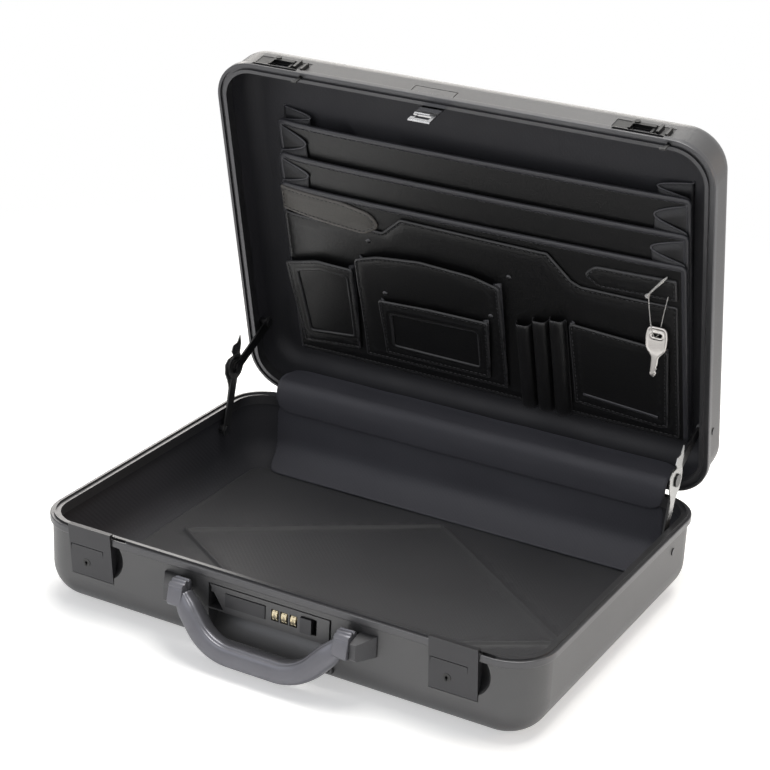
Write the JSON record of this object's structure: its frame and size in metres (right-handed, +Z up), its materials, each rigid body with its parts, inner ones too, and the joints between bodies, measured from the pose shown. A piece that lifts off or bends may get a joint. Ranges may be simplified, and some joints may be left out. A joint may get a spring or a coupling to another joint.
{
  "type": "attache case",
  "caption": "Hard aluminium attache case with rounded shells, folding handle, combination lock, lever latches, folding stays and a fitted document organiser in the lid.",
  "frame": {"origin": "middle of the base's underside", "axes": "+X to the right, +Y towards the hinges, +Z up"},
  "size_m": [0.4598, 0.4113, 0.4106],
  "materials": {
    "shell": "anodised grey, fine satin",
    "rim": "satin edge",
    "black_metal": "satin black",
    "liner": "matt fabric lining",
    "leather": "fine grained",
    "plated": "satin plated",
    "steel": "bright",
    "dial": "satin",
    "grip": "moulded, fine texture",
    "rubber": "matt",
    "nylon": "clear nylon"
  },
  "bodies": {
    "base": {"base_shell": "shell", "base_rim": "rim", "base_lining": "liner", "floor_pad": "liner", "hinge_cover": "liner", "bracket_left": "shell", "bracket_right": "shell", "handle_well": "shell", "lock_plate": "shell", "dial_axle": "steel", "button_guide": "dial", "latch_frame_left": "shell", "latch_frame_right": "shell", "hinge_leaves_base": "steel", "hinge_pins": "steel", "stay_studs_base": "plated", "base_feet": "rubber"},
    "handle": {"handle_grip": "grip", "handle_cap_left": "shell", "handle_cap_right": "shell"},
    "dial_one": {"dial_1": "dial"},
    "dial_two": {"dial_2": "dial"},
    "dial_three": {"dial_3": "dial"},
    "button": {"lock_button": "shell"},
    "slider": {"lock_slider": "shell"},
    "lever_left": {"latch_lever_left": "shell"},
    "lever_right": {"latch_lever_right": "shell"},
    "barrel_left": {"key_barrel_left": "black_metal"},
    "barrel_right": {"key_barrel_right": "black_metal"},
    "stay_lower_l": {"stay_lower_left": "black_metal", "stay_spring_left": "steel"},
    "stay_lower_r": {"stay_lower_right": "black_metal", "stay_spring_right": "steel"},
    "stay_upper_l": {"stay_upper_left": "black_metal"},
    "stay_upper_r": {"stay_upper_right": "black_metal"},
    "lid": {"lid_shell": "shell", "lid_rim": "rim", "lid_lining": "liner", "hinge_leaves_lid": "steel", "stay_studs_lid": "plated", "lid_feet": "rubber", "hasp_left": "black_metal", "hasp_right": "black_metal", "striker": "steel", "striker_plate": "black_metal", "folio_board_1": "leather", "folio_board_2": "leather", "organiser_board": "leather", "gusset_left": "leather", "gusset_right": "leather", "main_pocket": "leather", "strap_left": "leather", "strap_right": "leather", "window_pocket": "leather", "curved_pocket": "leather", "card_pocket": "leather", "pen_loops": "leather", "right_pocket": "leather", "key_loop": "nylon"},
    "hanging_key": {"key": "steel"}
  },
  "joints": [
    {"name": "lid_hinge", "type": "hinge", "parent": "base", "child": "lid", "pos_m": [0, 0.172, 0.072], "axis": [-1, 0, 0], "range_deg": [-77, 8]},
    {"name": "handle_swing", "type": "hinge", "parent": "base", "child": "handle", "pos_m": [0, -0.178, 0.056], "axis": [-1, 0, 0], "range_deg": [-13, 87]},
    {"name": "dial_one_turn", "type": "hinge", "parent": "base", "child": "dial_one", "pos_m": [0.0059, -0.1623, 0.05155], "axis": [1, 0, 0], "continuous": true},
    {"name": "dial_two_turn", "type": "hinge", "parent": "base", "child": "dial_two", "pos_m": [0.0143, -0.1623, 0.05155], "axis": [1, 0, 0], "continuous": true},
    {"name": "dial_three_turn", "type": "hinge", "parent": "base", "child": "dial_three", "pos_m": [0.0227, -0.1623, 0.05155], "axis": [1, 0, 0], "continuous": true},
    {"name": "button_push", "type": "slide", "parent": "base", "child": "button", "axis": [0, 1, 0], "range_m": [0, 0.0022], "stiffness_N_per_m": 400, "springref_m": -0.001},
    {"name": "slider_slide", "type": "slide", "parent": "base", "child": "slider", "axis": [1, 0, 0], "range_m": [0, 0.0037], "stiffness_N_per_m": 250, "springref_m": -0.002},
    {"name": "latch_left", "type": "hinge", "parent": "base", "child": "lever_left", "pos_m": [-0.1635, -0.1626, 0.0354], "axis": [1, 0, 0], "range_deg": [0, 50], "stiffness_Nm_per_rad": 0.08, "springref_deg": -22.92},
    {"name": "key_turn_left", "type": "hinge", "parent": "lever_left", "child": "barrel_left", "pos_m": [-0.175, -0.1695, 0.046], "axis": [0, 1, 0], "range_deg": [0, 90]},
    {"name": "latch_right", "type": "hinge", "parent": "base", "child": "lever_right", "pos_m": [0.1695, -0.1626, 0.0354], "axis": [1, 0, 0], "range_deg": [0, 50], "stiffness_Nm_per_rad": 0.08, "springref_deg": -22.92},
    {"name": "key_turn_right", "type": "hinge", "parent": "lever_right", "child": "barrel_right", "pos_m": [0.158, -0.1695, 0.046], "axis": [0, 1, 0], "range_deg": [0, 90]},
    {"name": "stay_lower_l_swing", "type": "hinge", "parent": "base", "child": "stay_lower_l", "pos_m": [-0.217, 0.107, 0.054], "axis": [-1, 0, 0], "range_deg": [-88.4, 10.1]},
    {"name": "stay_upper_l_swing", "type": "hinge", "parent": "lid", "child": "stay_upper_l", "pos_m": [-0.215, 0.17492, 0.13938], "axis": [-1, 0, 0], "range_deg": [-10.1, 88.4]},
    {"name": "stay_lower_r_swing", "type": "hinge", "parent": "base", "child": "stay_lower_r", "pos_m": [0.217, 0.107, 0.054], "axis": [-1, 0, 0], "range_deg": [-88.4, 10.1]},
    {"name": "stay_upper_r_swing", "type": "hinge", "parent": "lid", "child": "stay_upper_r", "pos_m": [0.215, 0.17492, 0.13938], "axis": [-1, 0, 0], "range_deg": [-10.1, 88.4]},
    {"name": "key_swing", "type": "hinge", "parent": "lid", "child": "hanging_key", "pos_m": [0.17, 0.15963, 0.2161], "axis": [1, 0, 0], "range_deg": [-5, 12]}
  ],
  "couplings": [
    {"joint": "stay_lower_l_swing", "follows": "lid_hinge", "ratio": 1.135},
    {"joint": "stay_upper_l_swing", "follows": "lid_hinge", "ratio": -1.135},
    {"joint": "stay_lower_r_swing", "follows": "lid_hinge", "ratio": 1.135},
    {"joint": "stay_upper_r_swing", "follows": "lid_hinge", "ratio": -1.135}
  ]
}
